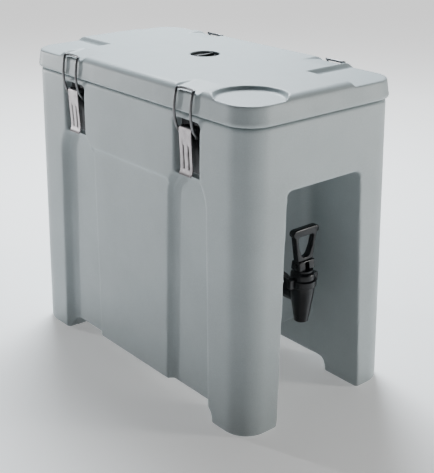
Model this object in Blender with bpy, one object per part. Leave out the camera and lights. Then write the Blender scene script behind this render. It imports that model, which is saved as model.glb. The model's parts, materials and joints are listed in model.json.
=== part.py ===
"""Insulated beverage dispenser: a foam-filled box body on four feet, a foam-filled lid held by four wire draw
latches, a vent in the middle of the lid, and a self-closing faucet in a bay of the front wall.

Metres, +Z up. The origin is the middle of the footprint, on the ground. The front, with the faucet, faces -Y.
Sizes across the body are half sizes, counted from the middle. "out" is the distance from the middle plane
towards the outside of a long side, so that both sides share one description.
"""

from math import atan2, cos, radians, sin

import bmesh
import bpy
from mathutils import Vector

# Clearances
GAP = 0.0003  # between two pieces that touch
RUN = 0.0002  # around a pin that turns in a hole

# Body
RIM_Z = 0.353  # top of the body's rim
RIM_X = 0.112  # half width at the rim
RIM_Y = 0.206  # half depth at the rim
FLARE = 0.0065  # how much further the foot of the body stands out on each side
CORNER_R = 0.032
SKIN = 0.003  # moulded wall
EDGE_R = 0.004
FOOT_Z = 0.0185  # underside of the skirt, above the ground
FOOT_FRONT_Y = -0.155  # rear end of the front feet
FOOT_BACK_Y = 0.148  # front end of the rear feet
REAR_GAP_X = 0.060  # half gap between the two rear feet
BELLY_Z = 0.068  # underside of the tank, between the skirts
BELLY_Y = 0.166  # rear end of the hollow under the tank

# Tank inside the body
TANK_X = 0.074
TANK_FRONT_Y = -0.086
TANK_BACK_Y = 0.168
TANK_FLOOR_Z = 0.100
TANK_R = 0.025
TANK_DRAFT = 0.002
FILL_R = 0.010  # hole that the foam is poured through, under the tank
FILL_Y = 0.040
FILL_FLANGE = 0.003  # rim of a fill plug, around its hole
FILL_FLANGE_THICK = 0.0025

# Bay for the faucet and a cup
BAY_TOP_Z = 0.279
BAY_TOP_X = 0.0556
BAY_FOOT_X = 0.0665
BAY_BACK_Y = -0.124
BAY_R = 0.014

# Relief of the long sides
GROOVE_DEEP = 0.0095
GROOVE_WALL = 0.006  # how far a groove's side slopes in
GROOVE_TOP_Z = 0.262
PANEL_DEEP = 0.003
PANEL_TOP_Z = 0.273
PANEL_Y = 0.074
LATCH_Y = 0.1095
POCKET_Y = 0.0220  # half width of a latch pocket
POCKET_LOW_Z = 0.283
POCKET_TOP_Z = 0.346
POCKET_OUT = 0.1002  # floor of a latch pocket

# Lid
SEAM = 0.0012
LID_LOW_Z = RIM_Z + SEAM
LID_TOP_Z = 0.381
LID_R = 0.009  # rounding of the top edge
BEAD_X = 0.1144  # half width over the bead along the lid's lower edge
LID_WALL_X = 0.1132
LID_SHOULDER_X = 0.1124
LID_EXTRA_Y = RIM_Y - RIM_X
PAD_Z = 0.3755  # lowered corner pads, where the feet of a stacked unit stand
PAD_X = 0.042
PAD_Y = 0.138
DISH_X, DISH_Y, DISH_R, DISH_Z = -0.081, -0.175, 0.036, 0.3760
HOLLOW_DISH_Z = 0.3785
NOTCH_X = 0.078  # where the ramp of a latch notch begins
NOTCH_Y = 0.0185  # half width of a latch notch
PLUG_X = 0.0715
PLUG_FRONT_Y = -0.0835
PLUG_BACK_Y = 0.1655
PLUG_LOW_Z = 0.336
PLUG_R = 0.023
LID_FILL_R = 0.008
LID_FILL_Y = 0.090
SEAL_OUT = 0.0035  # seal, outside the plug
SEAL_WIDE = 0.007
SEAL_TOP_Z = LID_LOW_Z + 0.0018

# Vent
VENT_X, VENT_Y = 0.013, 0.011
VENT_R = 0.0175  # recess
VENT_FLOOR_Z = 0.373
VENT_TUBE_R = 0.013
BUSH_BORE_R = 0.0105
BUSH_LOW_Z = 0.3325
BUSH_FLANGE = 0.0020
CAP_R = 0.0165
CAP_STEM_R = 0.0098
CAP_LOW_Z = VENT_FLOOR_Z + 0.0026
CAP_TOP_Z = CAP_LOW_Z + 0.0022
GRIP_X, GRIP_Y = 0.0135, 0.0022  # half sizes of the cap's rib
O_RING_Z = 0.366
O_RING_WIRE_R = 0.0007

# Latches
WIRE_R = 0.0015
BAR_OUT = 0.1096  # the bail's bar, resting over the lid's ledge
BAR_Z = 0.3790
LEDGE_Z = BAR_Z - WIRE_R - 0.0005
PIVOT_OUT, PIVOT_Z = 0.1092, 0.3370  # lever on its plate
HOOK_OUT, HOOK_Z = 0.1078, 0.3280  # bail on its lever
LEVER_Y = 0.0100
LEVER_SHEET = 0.0012
PLATE_SHEET = 0.0015
PLATE_Y = 0.0195
PIN_R = 0.0014
SCREW_R = 0.0016
SCREW_Y = 0.0155
SCREW_Z = 0.3150
SCREW_TIP_OUT = 0.0930
PLATE_LOW_Z, PLATE_TOP_Z = 0.2865, 0.3432
STRAND_Y = 0.0138  # half distance of a bail's two strands

# Faucet
FAUCET_Y = -0.1785
SHANK_Z = 0.134
SHANK_R = 0.009
BORE_R = 0.006
NUT_R = 0.0165
SPOUT_LOW_Z = 0.1025
SPOUT_R = 0.0084
BARREL_R = 0.014
BARREL_LOW_Z = 0.140
BARREL_TOP_Z = 0.147
SEAT_Z = 0.122
CHAMBER_R = 0.0086
SKIRT_R = 0.0160  # of the bonnet
SKIRT_TOP_Z = 0.1560
BONNET_TOP_Z = 0.168
TILT_Z = 0.1735  # pin of the handle
WASHER_THICK = 0.0025
NUT_BACK_Y = BAY_BACK_Y - WASHER_THICK - 2 * GAP
UNION_Y = -0.139  # meeting face of the shank and the faucet
UNION_FLANGE_R = 0.0122
FLANGE_THICK = 0.0025
NUT_LIP_Y = UNION_Y - GAP - FLANGE_THICK - GAP
NUT_FRONT_Y = NUT_LIP_Y - 0.002
INLET_R = 0.0105
STEM_R = 0.0030
BONNET_LOW_Z = BARREL_TOP_Z + GAP
WING_X = 0.0225  # half width over the bonnet's wings
HANDLE_PIN_R = 0.0012
HANDLE_Y = 0.0040  # half thickness of the handle
HANDLE_BAR_X = 0.0160
HANDLE_BAR_Z = 0.2142
HANDLE_BAR_R = 0.0040
FORK_X = 0.0120  # half width of the handle's foot

CORNER_STEPS = 4
SLIVER = 0.00002  # edges shorter than this are welded


def clear_scene():
    for item in list(bpy.data.objects):
        bpy.data.objects.remove(item, do_unlink=True)


def material(name, colour, roughness, metallic=0.0):
    made = bpy.data.materials.new(name)
    made.use_nodes = True
    shader = made.node_tree.nodes["Principled BSDF"]
    shader.inputs["Base Color"].default_value = (*colour, 1.0)
    shader.inputs["Roughness"].default_value = roughness
    shader.inputs["Metallic"].default_value = metallic
    return made


# Shapes ----------------------------------------------------------------------------------------------------


def solid(name, bm):
    """The bmesh as an object, with its faces pointing out and flat, as a Boolean wants them."""
    bmesh.ops.recalc_face_normals(bm, faces=bm.faces)
    bmesh.ops.triangulate(bm, faces=bm.faces)
    mesh = bpy.data.meshes.new(name)
    bm.to_mesh(mesh)
    bm.free()
    made = bpy.data.objects.new(name, mesh)
    bpy.context.scene.collection.objects.link(made)
    return made


def loft(name, rings, closed=False):
    """A solid through rings of equal count. Its ends are capped, or joined where it is closed."""
    bm = bmesh.new()
    loops = [[bm.verts.new(point) for point in ring] for ring in rings]
    pairs = list(zip(loops, loops[1:]))
    if closed:
        pairs.append((loops[-1], loops[0]))
    else:
        bm.faces.new(loops[0])
        bm.faces.new(loops[-1])
    for low, high in pairs:
        for i, point in enumerate(low):
            j = (i + 1) % len(low)
            bm.faces.new((point, low[j], high[j], high[i]))
    return solid(name, bm)


def arc(centre, radius, start, end, steps):
    """Points on an arc, angles in degrees."""
    angles = [radians(start + (end - start) * i / steps) for i in range(steps + 1)]
    return [(centre[0] + radius * cos(a), centre[1] + radius * sin(a)) for a in angles]


def rounded_box_ring(x, y_low, y_high, radius, z):
    """A level ring: a rounded rectangle from -x to x and from y_low to y_high."""
    radius = max(radius, 0.0005)
    right, left, rear, front = x - radius, radius - x, y_high - radius, y_low + radius
    points = []
    for turn, centre in enumerate(((right, rear), (left, rear), (left, front), (right, front))):
        points += arc(centre, radius, 90 * turn, 90 * turn + 90, CORNER_STEPS)
    return [(px, py, z) for px, py in points]


def turned(name, outline, place, axis="Z", steps=16, closed=False):
    """A turned solid. outline holds (radius, height) pairs; height runs from place along the axis."""
    rings = []
    for radius, height in outline:
        circle = arc((0, 0), radius, 0, 360 * (steps - 1) / steps, steps - 1)
        if axis == "Z":
            ring = [(a, b, height) for a, b in circle]
        elif axis == "Y":
            ring = [(b, height, a) for a, b in circle]
        else:
            ring = [(height, a, b) for a, b in circle]
        rings.append([tuple(Vector(point) + Vector(place)) for point in ring])
    return loft(name, rings, closed)


def slab(name, outline, low, high, axis):
    """An outline pushed from low to high. axis X takes (y, z) pairs, Y takes (x, z) and Z takes (x, y)."""
    rings = []
    for level in (low, high):
        if axis == "X":
            rings.append([(level, a, b) for a, b in outline])
        elif axis == "Y":
            rings.append([(a, level, b) for a, b in outline])
        else:
            rings.append([(a, b, level) for a, b in outline])
    return loft(name, rings)


def combine(target, operation, *tools):
    """Applies one Boolean for each tool and removes the tools."""
    for tool in tools:
        step = target.modifiers.new(operation, "BOOLEAN")
        step.operation = operation
        step.solver = "EXACT"
        step.object = tool
        bpy.context.view_layer.update()
        graph = bpy.context.evaluated_depsgraph_get()
        shape = bpy.data.meshes.new_from_object(target.evaluated_get(graph))
        target.modifiers.clear()
        target.data = shape
        bpy.data.objects.remove(tool, do_unlink=True)
        tidy(shape)
    return target


def tidy(mesh):
    """Welds the slivers that a cut leaves and merges the flat faces that it split."""
    bm = bmesh.new()
    bm.from_mesh(mesh)
    bmesh.ops.remove_doubles(bm, verts=bm.verts, dist=SLIVER)
    bmesh.ops.dissolve_degenerate(bm, edges=bm.edges, dist=SLIVER)
    bmesh.ops.dissolve_limit(bm, angle_limit=radians(0.2), verts=bm.verts, edges=bm.edges)
    bmesh.ops.triangulate(bm, faces=bm.faces)
    bm.to_mesh(mesh)
    bm.free()


def cut(target, *tools):
    return combine(target, "DIFFERENCE", *tools)


def join(target, *tools):
    return combine(target, "UNION", *tools)


def wire(name, points, radius):
    """A round wire with flat ends along a poly line."""
    curve = bpy.data.curves.new(name, "CURVE")
    curve.dimensions = "3D"
    curve.bevel_depth = radius
    curve.bevel_resolution = 1
    curve.use_fill_caps = True
    line = curve.splines.new("POLY")
    line.points.add(len(points) - 1)
    for spot, point in zip(line.points, points):
        spot.co = (*point, 1.0)
    guide = bpy.data.objects.new(name + "_guide", curve)
    bpy.context.scene.collection.objects.link(guide)
    bpy.context.view_layer.update()
    graph = bpy.context.evaluated_depsgraph_get()
    mesh = bpy.data.meshes.new_from_object(guide.evaluated_get(graph))
    bpy.data.objects.remove(guide, do_unlink=True)
    bm = bmesh.new()
    bm.from_mesh(mesh)
    bmesh.ops.remove_doubles(bm, verts=bm.verts, dist=1e-6)
    return solid(name, bm)


def finish(target, looks, sharp=35):
    target.data.materials.clear()
    target.data.materials.append(looks)
    target.data.shade_smooth()
    target.data.set_sharp_from_angle(angle=radians(sharp))
    return target


# Body -----------------------------------------------------------------------------------------------------


def wall_out(z):
    """Half width of the body's long sides at a height."""
    return RIM_X + FLARE * (1 - z / RIM_Z)


def bay_half(z):
    return BAY_FOOT_X + (BAY_TOP_X - BAY_FOOT_X) * z / BAY_TOP_Z


def body_block(inset):
    """The plain drafted box, moved in by inset, with its lower and upper edges rounded."""
    rings = []
    low, high = inset, RIM_Z - inset
    rounding = ((0, EDGE_R), (0.3 * EDGE_R, 0.3 * EDGE_R), (EDGE_R, 0))
    levels = [(low + up, back) for up, back in rounding]
    levels += [(high - down, back) for down, back in reversed(rounding)]
    for z, back in levels:
        x = wall_out(z) - inset - back
        y = x + LID_EXTRA_Y
        rings.append(rounded_box_ring(x, -y, y, CORNER_R - inset - back, z))
    return loft("body_block", rings)


def bay_cutter(inset, back_y, top_z, narrower=0.0):
    """The bay, or the slightly narrower hollow that runs on behind it under the tank."""
    back_y, top_z = back_y + inset, top_z + inset
    rings = []
    for z, back in ((-0.02, 0), (top_z - 0.007, 0), (top_z - 0.002, 0.002), (top_z, 0.007)):
        half = bay_half(z) + inset - back - narrower
        rings.append(rounded_box_ring(half, -0.30 + narrower, back_y - 0.5 * back, BAY_R + inset, z))
    return loft("bay_cutter", rings)


def feet_cutter(inset):
    """The gap under the long sides, between the front and the rear feet."""
    front, back, top = FOOT_FRONT_Y - inset, FOOT_BACK_Y + inset, FOOT_Z + inset
    outline = [(front - 0.002, -0.02), *arc((front + 0.008, top - 0.008), 0.008, 180, 90, 3)]
    outline += [*arc((back - 0.028, top - 0.020), 0.020, 90, 20, 4), (back + 0.002, -0.02)]
    return slab("feet_cutter", outline, -0.2, 0.2, "X")


def rear_gap_cutter(inset):
    half, top = REAR_GAP_X + inset, FOOT_Z + inset
    outline = [(-half - 0.003, -0.02), (-half, top - 0.006), (-half + 0.006, top)]
    outline += [(half - 0.006, top), (half, top - 0.006), (half + 0.003, -0.02)]
    return slab("rear_gap_cutter", outline, 0.0, 0.3, "Y")


def relief_cutter(name, side, outline_at, floor_out):
    """Cuts a long side to a floor. outline_at(slope) is its (y, z) outline, drawn in by slope."""
    rings = []
    for slope, out in ((-1.0, lambda z: wall_out(z) + 0.03), (0.0, wall_out), (1.0, floor_out)):
        rings.append([(side * out(z), y, z) for y, z in outline_at(slope)])
    return loft(name, rings)


def groove_cutter(inset, side, end):
    """One of the two upright grooves of a long side, which widens below its latch pocket."""

    def outline_at(slope):
        draw = (GROOVE_WALL * slope if slope > 0 else 0) - inset
        inner, outer = PANEL_Y - 0.002 + draw, 0.143 - draw
        inner_foot, outer_foot = inner - 0.004, outer + 0.009
        neck = POCKET_Y - max(draw, 0)
        top = GROOVE_TOP_Z - draw
        points = [(inner_foot, -0.02), (outer_foot, -0.02)]
        points += arc((outer - 0.012, top), 0.012, 0, 60, 3)
        points += [(LATCH_Y + neck, POCKET_LOW_Z + 0.004), (LATCH_Y - neck, POCKET_LOW_Z + 0.004)]
        points += arc((inner + 0.010, top), 0.010, 120, 180, 3)
        return [(end * y, z) for y, z in points]

    return relief_cutter("groove_cutter", side, outline_at, lambda z: wall_out(z) - GROOVE_DEEP - inset)


def panel_cutter(inset, side):
    """The shallow panel between the grooves."""

    def outline_at(slope):
        top = PANEL_TOP_Z + inset - (0.002 if slope > 0 else 0)
        return [(-PANEL_Y, -0.02), (PANEL_Y, -0.02), (PANEL_Y, top), (-PANEL_Y, top)]

    return relief_cutter("panel_cutter", side, outline_at, lambda z: wall_out(z) - PANEL_DEEP - inset)


def pocket_cutter(inset, side, end):
    """A latch pocket, with an upright floor."""
    half, low, high, radius = POCKET_Y + inset, POCKET_LOW_Z - inset, POCKET_TOP_Z + inset, 0.005
    outline = arc((half - radius, high - radius), radius, 0, 90, 2)
    outline += arc((radius - half, high - radius), radius, 90, 180, 2)
    outline += [(-half, low), (half, low)]
    outline = [(end * LATCH_Y + y, z) for y, z in outline]
    return slab("pocket_cutter", outline, side * (POCKET_OUT - inset), side * 0.2, "X")


def body_form(inset):
    """The body's outer form, moved in by inset: the skin outside, the foam inside."""
    form = body_block(inset)
    cut(form, bay_cutter(inset, BAY_BACK_Y, BAY_TOP_Z), bay_cutter(inset, BELLY_Y, BELLY_Z, 0.001))
    cut(form, feet_cutter(inset), rear_gap_cutter(inset))
    for side in (-1, 1):
        cut(form, panel_cutter(inset, side))
        for end in (-1, 1):
            cut(form, groove_cutter(inset, side, end), pocket_cutter(inset, side, end))
    return form


def tank_cutter(inset):
    """The tank, grown by inset, with a rounded floor edge and open upwards."""
    floor = TANK_FLOOR_Z - inset
    rings = []
    for z, back in ((floor, 0.010), (floor + 0.003, 0.003), (floor + 0.010, 0), (0.42, 0)):
        draft = TANK_DRAFT * (1 - (z - floor) / (RIM_Z - floor)) - inset
        x = TANK_X - draft - back
        rings.append(rounded_box_ring(x, TANK_FRONT_Y - inset + back, TANK_BACK_Y - draft - back, TANK_R, z))
    return loft("tank_cutter", rings)


def drill(name, radius, start, end, axis, steps=16):
    """A straight hole cutter between two points on one axis."""
    length = (Vector(end) - Vector(start)).length
    sign = 1 if sum(Vector(end) - Vector(start)) > 0 else -1
    return turned(name, [(radius, 0), (radius, sign * length)], start, axis, steps)


def screw_places():
    for side in (-1, 1):
        for end in (-1, 1):
            for y in (-SCREW_Y, SCREW_Y):
                yield side, end * LATCH_Y + y


def pilot_drill(side, y, tip_out):
    start = (side * (POCKET_OUT + 0.006), y, SCREW_Z)
    return drill("pilot", SCREW_R + GAP, start, (side * tip_out, y, SCREW_Z), "X", 8)


def shank_drill(radius):
    start, end = (0, BAY_BACK_Y - 0.02, SHANK_Z), (0, TANK_FRONT_Y + 0.02, SHANK_Z)
    return drill("shank_drill", radius, start, end, "Y")


def body_shell(looks):
    shell = body_form(0)
    shell.name = "body_shell"
    hollow = cut(body_form(SKIN), tank_cutter(SKIN), shank_drill(SHANK_R + 0.0035))
    cut(shell, hollow, tank_cutter(0), shank_drill(SHANK_R + 0.0005))
    cut(shell, drill("fill", FILL_R, (0, FILL_Y, BELLY_Z - 0.01), (0, FILL_Y, BELLY_Z + 0.006), "Z"))
    for side, y in screw_places():
        cut(shell, pilot_drill(side, y, 0.0955))
    return finish(shell, looks)


def body_foam(looks):
    foam = body_form(SKIN + GAP)
    foam.name = "body_foam"
    cut(foam, tank_cutter(SKIN + GAP), shank_drill(SHANK_R + 0.0035 + GAP))
    for side, y in screw_places():
        cut(foam, pilot_drill(side, y, 0.0910))
    return finish(foam, looks)


def fill_plug(name, radius, place, looks):
    """A flanged plug pressed into a foam fill hole from below."""
    flange, bore = radius + FILL_FLANGE, radius - GAP
    outline = [(flange, -GAP - FILL_FLANGE_THICK), (flange, -GAP), (bore, -GAP), (bore, SKIN)]
    return finish(turned(name, outline, place), looks)


def body_fill_plug(looks):
    return fill_plug("body_fill_plug", FILL_R, (0, FILL_Y, BELLY_Z), looks)


# Lid ------------------------------------------------------------------------------------------------------


def lid_block(inset):
    rings = []
    profile = [(LID_LOW_Z + inset, BEAD_X - 0.0016), (LID_LOW_Z + inset + 0.0013, BEAD_X)]
    profile += [(LID_LOW_Z + 0.0048, BEAD_X), (LID_LOW_Z + 0.0068, LID_WALL_X)]
    profile += [(LID_TOP_Z - LID_R, LID_SHOULDER_X)]
    if inset:
        profile = [(LID_LOW_Z + inset, LID_WALL_X), (LID_TOP_Z - LID_R, LID_SHOULDER_X)]
    round_x, round_z = LID_SHOULDER_X - LID_R, LID_TOP_Z - LID_R
    shoulder = arc((round_x, round_z), LID_R - inset, 0, 90, 4)[1:]
    profile = [(z, x - inset) for z, x in profile] + [(z, x) for x, z in shoulder]
    for z, x in profile:
        y = x + LID_EXTRA_Y
        rings.append(rounded_box_ring(x, -y, y, CORNER_R - (BEAD_X - x), z))
    return loft("lid_block", rings)


def pad_cutter(inset, side, end):
    """A lowered corner pad, with sloping inner walls."""
    rings = []
    for z, slope in ((PAD_Z - inset, 0.0), (LID_TOP_Z + 0.001, -0.005)):
        x, y = PAD_X + slope - inset, PAD_Y + slope - inset
        outline = [(x + 0.008, y), (0.2, y), (0.2, 0.3), (x, 0.3), (x, y + 0.008)]
        rings.append([(side * px, end * py, z) for px, py in outline])
    return loft("pad_cutter", rings)


def dish_cutter(inset, turn, floor):
    """A round recess of a corner. turn is 1 at the front left and -1 at the rear right."""
    outline = [(DISH_R + inset, floor - inset), (DISH_R + 0.003 + inset, LID_TOP_Z + 0.002)]
    return turned("dish_cutter", outline, (turn * DISH_X, turn * DISH_Y, 0), steps=24)


def notch_cutter(inset, side, end):
    """The ramp and ledge that a bail hooks over."""
    ledge, above, beyond = LEDGE_Z - 1.1 * inset, LID_TOP_Z + 0.002, LID_SHOULDER_X + 0.018
    outline = [(NOTCH_X - 0.002, above), (NOTCH_X, above - 0.0022 - 1.1 * inset), (0.1060, ledge + 0.0012)]
    outline += [(0.1068, ledge), (BAR_OUT + 0.001 - inset, ledge), (LID_SHOULDER_X - inset, ledge - 0.003)]
    outline += [(beyond, ledge - 0.006), (beyond, above)]
    low, high = end * LATCH_Y - NOTCH_Y - inset, end * LATCH_Y + NOTCH_Y + inset
    return slab("notch_cutter", [(side * out, z) for out, z in outline], low, high, "Y")


def lid_form(inset):
    form = lid_block(inset)
    plug = []
    for z, back in ((PLUG_LOW_Z + inset, 0.004), (PLUG_LOW_Z + inset + 0.004, 0), (LID_LOW_Z + 0.006, 0)):
        front, rear = PLUG_FRONT_Y + inset + back, PLUG_BACK_Y - inset - back
        plug.append(rounded_box_ring(PLUG_X - inset - back, front, rear, PLUG_R - inset, z))
    join(form, loft("plug", plug))
    cut(form, pad_cutter(inset, -1, 1), pad_cutter(inset, 1, -1))
    cut(form, dish_cutter(inset, 1, DISH_Z), dish_cutter(inset, -1, HOLLOW_DISH_Z))
    for side in (-1, 1):
        for end in (-1, 1):
            cut(form, notch_cutter(inset, side, end))
    return form


def seal_ring(name, low, high, slack):
    """The flat ring around the lid's plug, grown by slack on each side."""
    rings = []
    near, far = SEAL_OUT - slack, SEAL_OUT + SEAL_WIDE + slack
    for out, z in ((near, low), (far, low), (far, high), (near, high)):
        rings.append(rounded_box_ring(PLUG_X + out, PLUG_FRONT_Y - out, PLUG_BACK_Y + out, PLUG_R + out, z))
    return loft(name, rings, closed=True)


def vent_drill(radius, low):
    return drill("vent_drill", radius, (VENT_X, VENT_Y, low), (VENT_X, VENT_Y, 0.40), "Z", 20)


def lid_shell(looks):
    shell = lid_form(0)
    shell.name = "lid_shell"
    boss = vent_drill(VENT_R + SKIN, 0.32)
    hollow = cut(lid_form(SKIN), boss)
    cut(shell, hollow)
    cut(shell, vent_drill(VENT_R, VENT_FLOOR_Z), vent_drill(VENT_TUBE_R, 0.32))
    cut(shell, drill("fill", LID_FILL_R, (0, LID_FILL_Y, 0.33), (0, LID_FILL_Y, PLUG_LOW_Z + 0.005), "Z"))
    cut(shell, seal_ring("seal_groove", LID_LOW_Z - 0.01, SEAL_TOP_Z, GAP))
    return finish(shell, looks)


def lid_foam(looks):
    foam = lid_form(SKIN + GAP)
    foam.name = "lid_foam"
    cut(foam, vent_drill(VENT_R + SKIN + GAP, 0.32))
    return finish(foam, looks)


def lid_fill_plug(looks):
    return fill_plug("lid_fill_plug", LID_FILL_R, (0, LID_FILL_Y, PLUG_LOW_Z), looks)


def lid_gasket(looks):
    return finish(seal_ring("lid_gasket", RIM_Z + GAP, SEAL_TOP_Z - GAP, 0), looks)


def vent_bush(looks):
    bore, tube, flange = BUSH_BORE_R, VENT_TUBE_R - GAP, VENT_R - GAP
    low, seat = BUSH_LOW_Z, VENT_FLOOR_Z + GAP
    top = seat + BUSH_FLANGE
    outline = [(bore, low), (tube, low), (tube, seat), (flange, seat), (flange, top), (bore, top)]
    return finish(turned("vent_bush", outline, (VENT_X, VENT_Y, 0), steps=20, closed=True), looks)


def vent_cap(looks):
    """A cap on a grooved stem, with a rib across its top for the fingers."""
    stem, neck, foot = CAP_STEM_R, CAP_STEM_R - 0.0012, O_RING_Z - 0.016
    low, high = O_RING_Z - 0.0012, O_RING_Z + 0.0012
    outline = [(stem, foot), (stem, low), (neck, low), (neck, high), (stem, high)]
    outline += [(stem, CAP_LOW_Z), (CAP_R, CAP_LOW_Z), (CAP_R, CAP_TOP_Z)]
    cap = turned("vent_cap", outline, (VENT_X, VENT_Y, 0), steps=20)
    rib = [(VENT_X + x * GRIP_X, VENT_Y + y * GRIP_Y) for x, y in ((1, 1), (-1, 1), (-1, -1), (1, -1))]
    join(cap, slab("rib", rib, CAP_TOP_Z - 0.001, LID_TOP_Z - 0.0004, "Z"))
    return finish(cap, looks)


def vent_o_ring(looks):
    outline = arc((CAP_STEM_R - 0.0002, O_RING_Z), O_RING_WIRE_R, 45, 315, 3)
    return finish(turned("vent_o_ring", outline, (VENT_X, VENT_Y, 0), steps=16, closed=True), looks)


# Latches --------------------------------------------------------------------------------------------------


def cross_drill(radius, side, middle, out, z):
    """A drill through a latch, along Y."""
    start, end = (side * out, middle - 0.03, z), (side * out, middle + 0.03, z)
    return drill("cross_drill", radius, start, end, "Y", 10)


def latch_plate(name, side, end, looks):
    """The plate on the pocket's floor, with the two ears that hold the lever's pin."""
    low, top = POCKET_OUT + GAP, POCKET_OUT + GAP + PLATE_SHEET
    middle = end * LATCH_Y
    front, rear = middle - PLATE_Y, middle + PLATE_Y
    outline = [(front, PLATE_LOW_Z), (rear, PLATE_LOW_Z), (rear, PLATE_TOP_Z), (front, PLATE_TOP_Z)]
    plate = slab(name, outline, side * low, side * top, "X")
    for hand in (-1, 1):
        ear = [(top - 0.0008, 0.3385), (top - 0.0008, 0.3130), (PIVOT_OUT - 0.0005, PIVOT_Z - 0.0030)]
        ear += arc((PIVOT_OUT, PIVOT_Z), 0.0026, -60, 140, 4)
        near, far = sorted((middle + hand * 0.0074, middle + hand * 0.0088))
        join(plate, slab("ear", [(side * o, z) for o, z in ear], near, far, "Y"))
    drills = [cross_drill(PIN_R + RUN, side, middle, PIVOT_OUT, PIVOT_Z)]
    drills += [pilot_drill(side, middle + y, 0.0955) for y in (-SCREW_Y, SCREW_Y)]
    return finish(cut(plate, *drills), looks)


def lever_strap():
    """Side outline of the lever's face, from its rolled top to the lifted lip at its lower end."""
    outer = [(0.1134, 0.3382), (0.1138, 0.3340), (0.1121, 0.2930), (0.1131, 0.2880), (0.1150, 0.2855)]
    inner = []
    for before, here, after in zip([outer[0], *outer], outer, [*outer[1:], outer[-1]]):
        angle = atan2(after[1] - before[1], after[0] - before[0])
        inner.append((here[0] + LEVER_SHEET * sin(angle), here[1] - LEVER_SHEET * cos(angle)))
    return outer + inner[::-1]


def latch_lever(name, side, end, looks):
    middle = end * LATCH_Y
    strap = [(side * out, z) for out, z in lever_strap()]
    lever = slab(name, strap, middle - LEVER_Y, middle + LEVER_Y, "Y")
    for hand in (-1, 1):
        flange = [(0.1127, 0.3382), (0.1120, 0.3020), (0.1110, 0.3010), (0.1053, 0.3240), (0.1053, 0.3370)]
        flange += [(0.1078, 0.3400), (0.1108, 0.3400)]
        near, far = sorted((middle + hand * (LEVER_Y - LEVER_SHEET), middle + hand * LEVER_Y))
        join(lever, slab("flange", [(side * o, z) for o, z in flange], near, far, "Y"))
    pivot = cross_drill(PIN_R + RUN, side, middle, PIVOT_OUT, PIVOT_Z)
    hook = cross_drill(WIRE_R + RUN, side, middle, HOOK_OUT, HOOK_Z)
    return finish(cut(lever, pivot, hook), looks)


def headed_pin(radius, head, half, thick):
    """(radius, height) outline of a pin that is half long each way between its two heads."""
    low = [(head, -half - thick), (head, -half), (radius, -half)]
    return low + [(r, -height) for r, height in reversed(low)]


def latch_pin(name, side, end, looks):
    """A pin with a head formed on each end."""
    outline = headed_pin(PIN_R, 0.0021, LEVER_Y + GAP, 0.0008)
    return finish(turned(name, outline, (side * PIVOT_OUT, end * LATCH_Y, PIVOT_Z), "Y", 8), looks)


def bail_route():
    """(out, z) places of one strand, from the lever up over the lid's bead to the bar."""
    return [
        (HOOK_OUT, HOOK_Z),
        (0.1098, 0.3308),
        (0.1128, 0.3355),
        (0.1151, 0.3430),
        (0.1164, 0.3510),
        (0.1166, 0.3580),
        (0.1160, 0.3650),
        (0.1149, 0.3720),
        (0.1138, 0.3759),
        (0.1121, 0.3785),
        (BAR_OUT, BAR_Z),
    ]


def latch_bail(name, side, end, looks):
    """A wire loop: two strands joined by the bar, with their lower ends turned into the lever."""
    stub, bend = LEVER_Y - 0.0009, 0.0016
    route = bail_route()
    (low_out, low_z), (bar_out, bar_z) = route[0], route[-1]
    half = [(low_out, stub, low_z), (low_out, STRAND_Y - bend, low_z)]
    half += [(out, STRAND_Y, z) for out, z in route[1:-1]]
    half += [(bar_out + 0.0006, STRAND_Y - bend, bar_z - 0.0003), (bar_out, STRAND_Y - 0.0042, bar_z)]
    points = half + [(out, -y, z) for out, y, z in reversed(half)]
    points = [(side * out, end * LATCH_Y + y, z) for out, y, z in points]
    return finish(wire(name, points, WIRE_R), looks)


def latch_screw(name, side, y, looks):
    """A pan-head screw, through the plate and the skin into the foam."""
    seat = POCKET_OUT + 2 * GAP + PLATE_SHEET
    outline = [(SCREW_R, SCREW_TIP_OUT), (SCREW_R, seat), (0.0030, seat), (0.0027, seat + 0.0009)]
    outline += [(0.0016, seat + 0.0016)]
    return finish(turned(name, [(r, side * out) for r, out in outline], (0, y, SCREW_Z), "X", 8), looks)


# Faucet ---------------------------------------------------------------------------------------------------


def washer(name, back_y, looks):
    bore, rim = SHANK_R + GAP, NUT_R - 0.0005
    outline = [(bore, 0), (rim, 0), (rim, -WASHER_THICK), (bore, -WASHER_THICK)]
    return finish(turned(name, outline, (0, back_y, SHANK_Z), "Y", closed=True), looks)


def faucet_shank(looks):
    """A tube through the wall, flanged at the union."""
    end, flange_y = TANK_FRONT_Y + 0.012, UNION_Y + 0.003
    outline = [(BORE_R, UNION_Y), (UNION_FLANGE_R, UNION_Y), (UNION_FLANGE_R, flange_y), (SHANK_R, flange_y)]
    outline += [(SHANK_R, end), (BORE_R, end)]
    return finish(turned("faucet_shank", outline, (0, 0, SHANK_Z), "Y", closed=True), looks)


def shank_nut(looks):
    """The hexagonal nut inside the tank."""
    low = TANK_FRONT_Y + WASHER_THICK + 2 * GAP
    high = low + 0.006
    hexagon = [(x, SHANK_Z + z) for x, z in arc((0, 0), 0.0160, 0, 300, 5)]
    nut = slab("shank_nut", hexagon, low, high, "Y")
    bore = drill("bore", SHANK_R + GAP, (0, low - 0.01, SHANK_Z), (0, high + 0.01, SHANK_Z), "Y")
    return finish(cut(nut, bore), looks)


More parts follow.
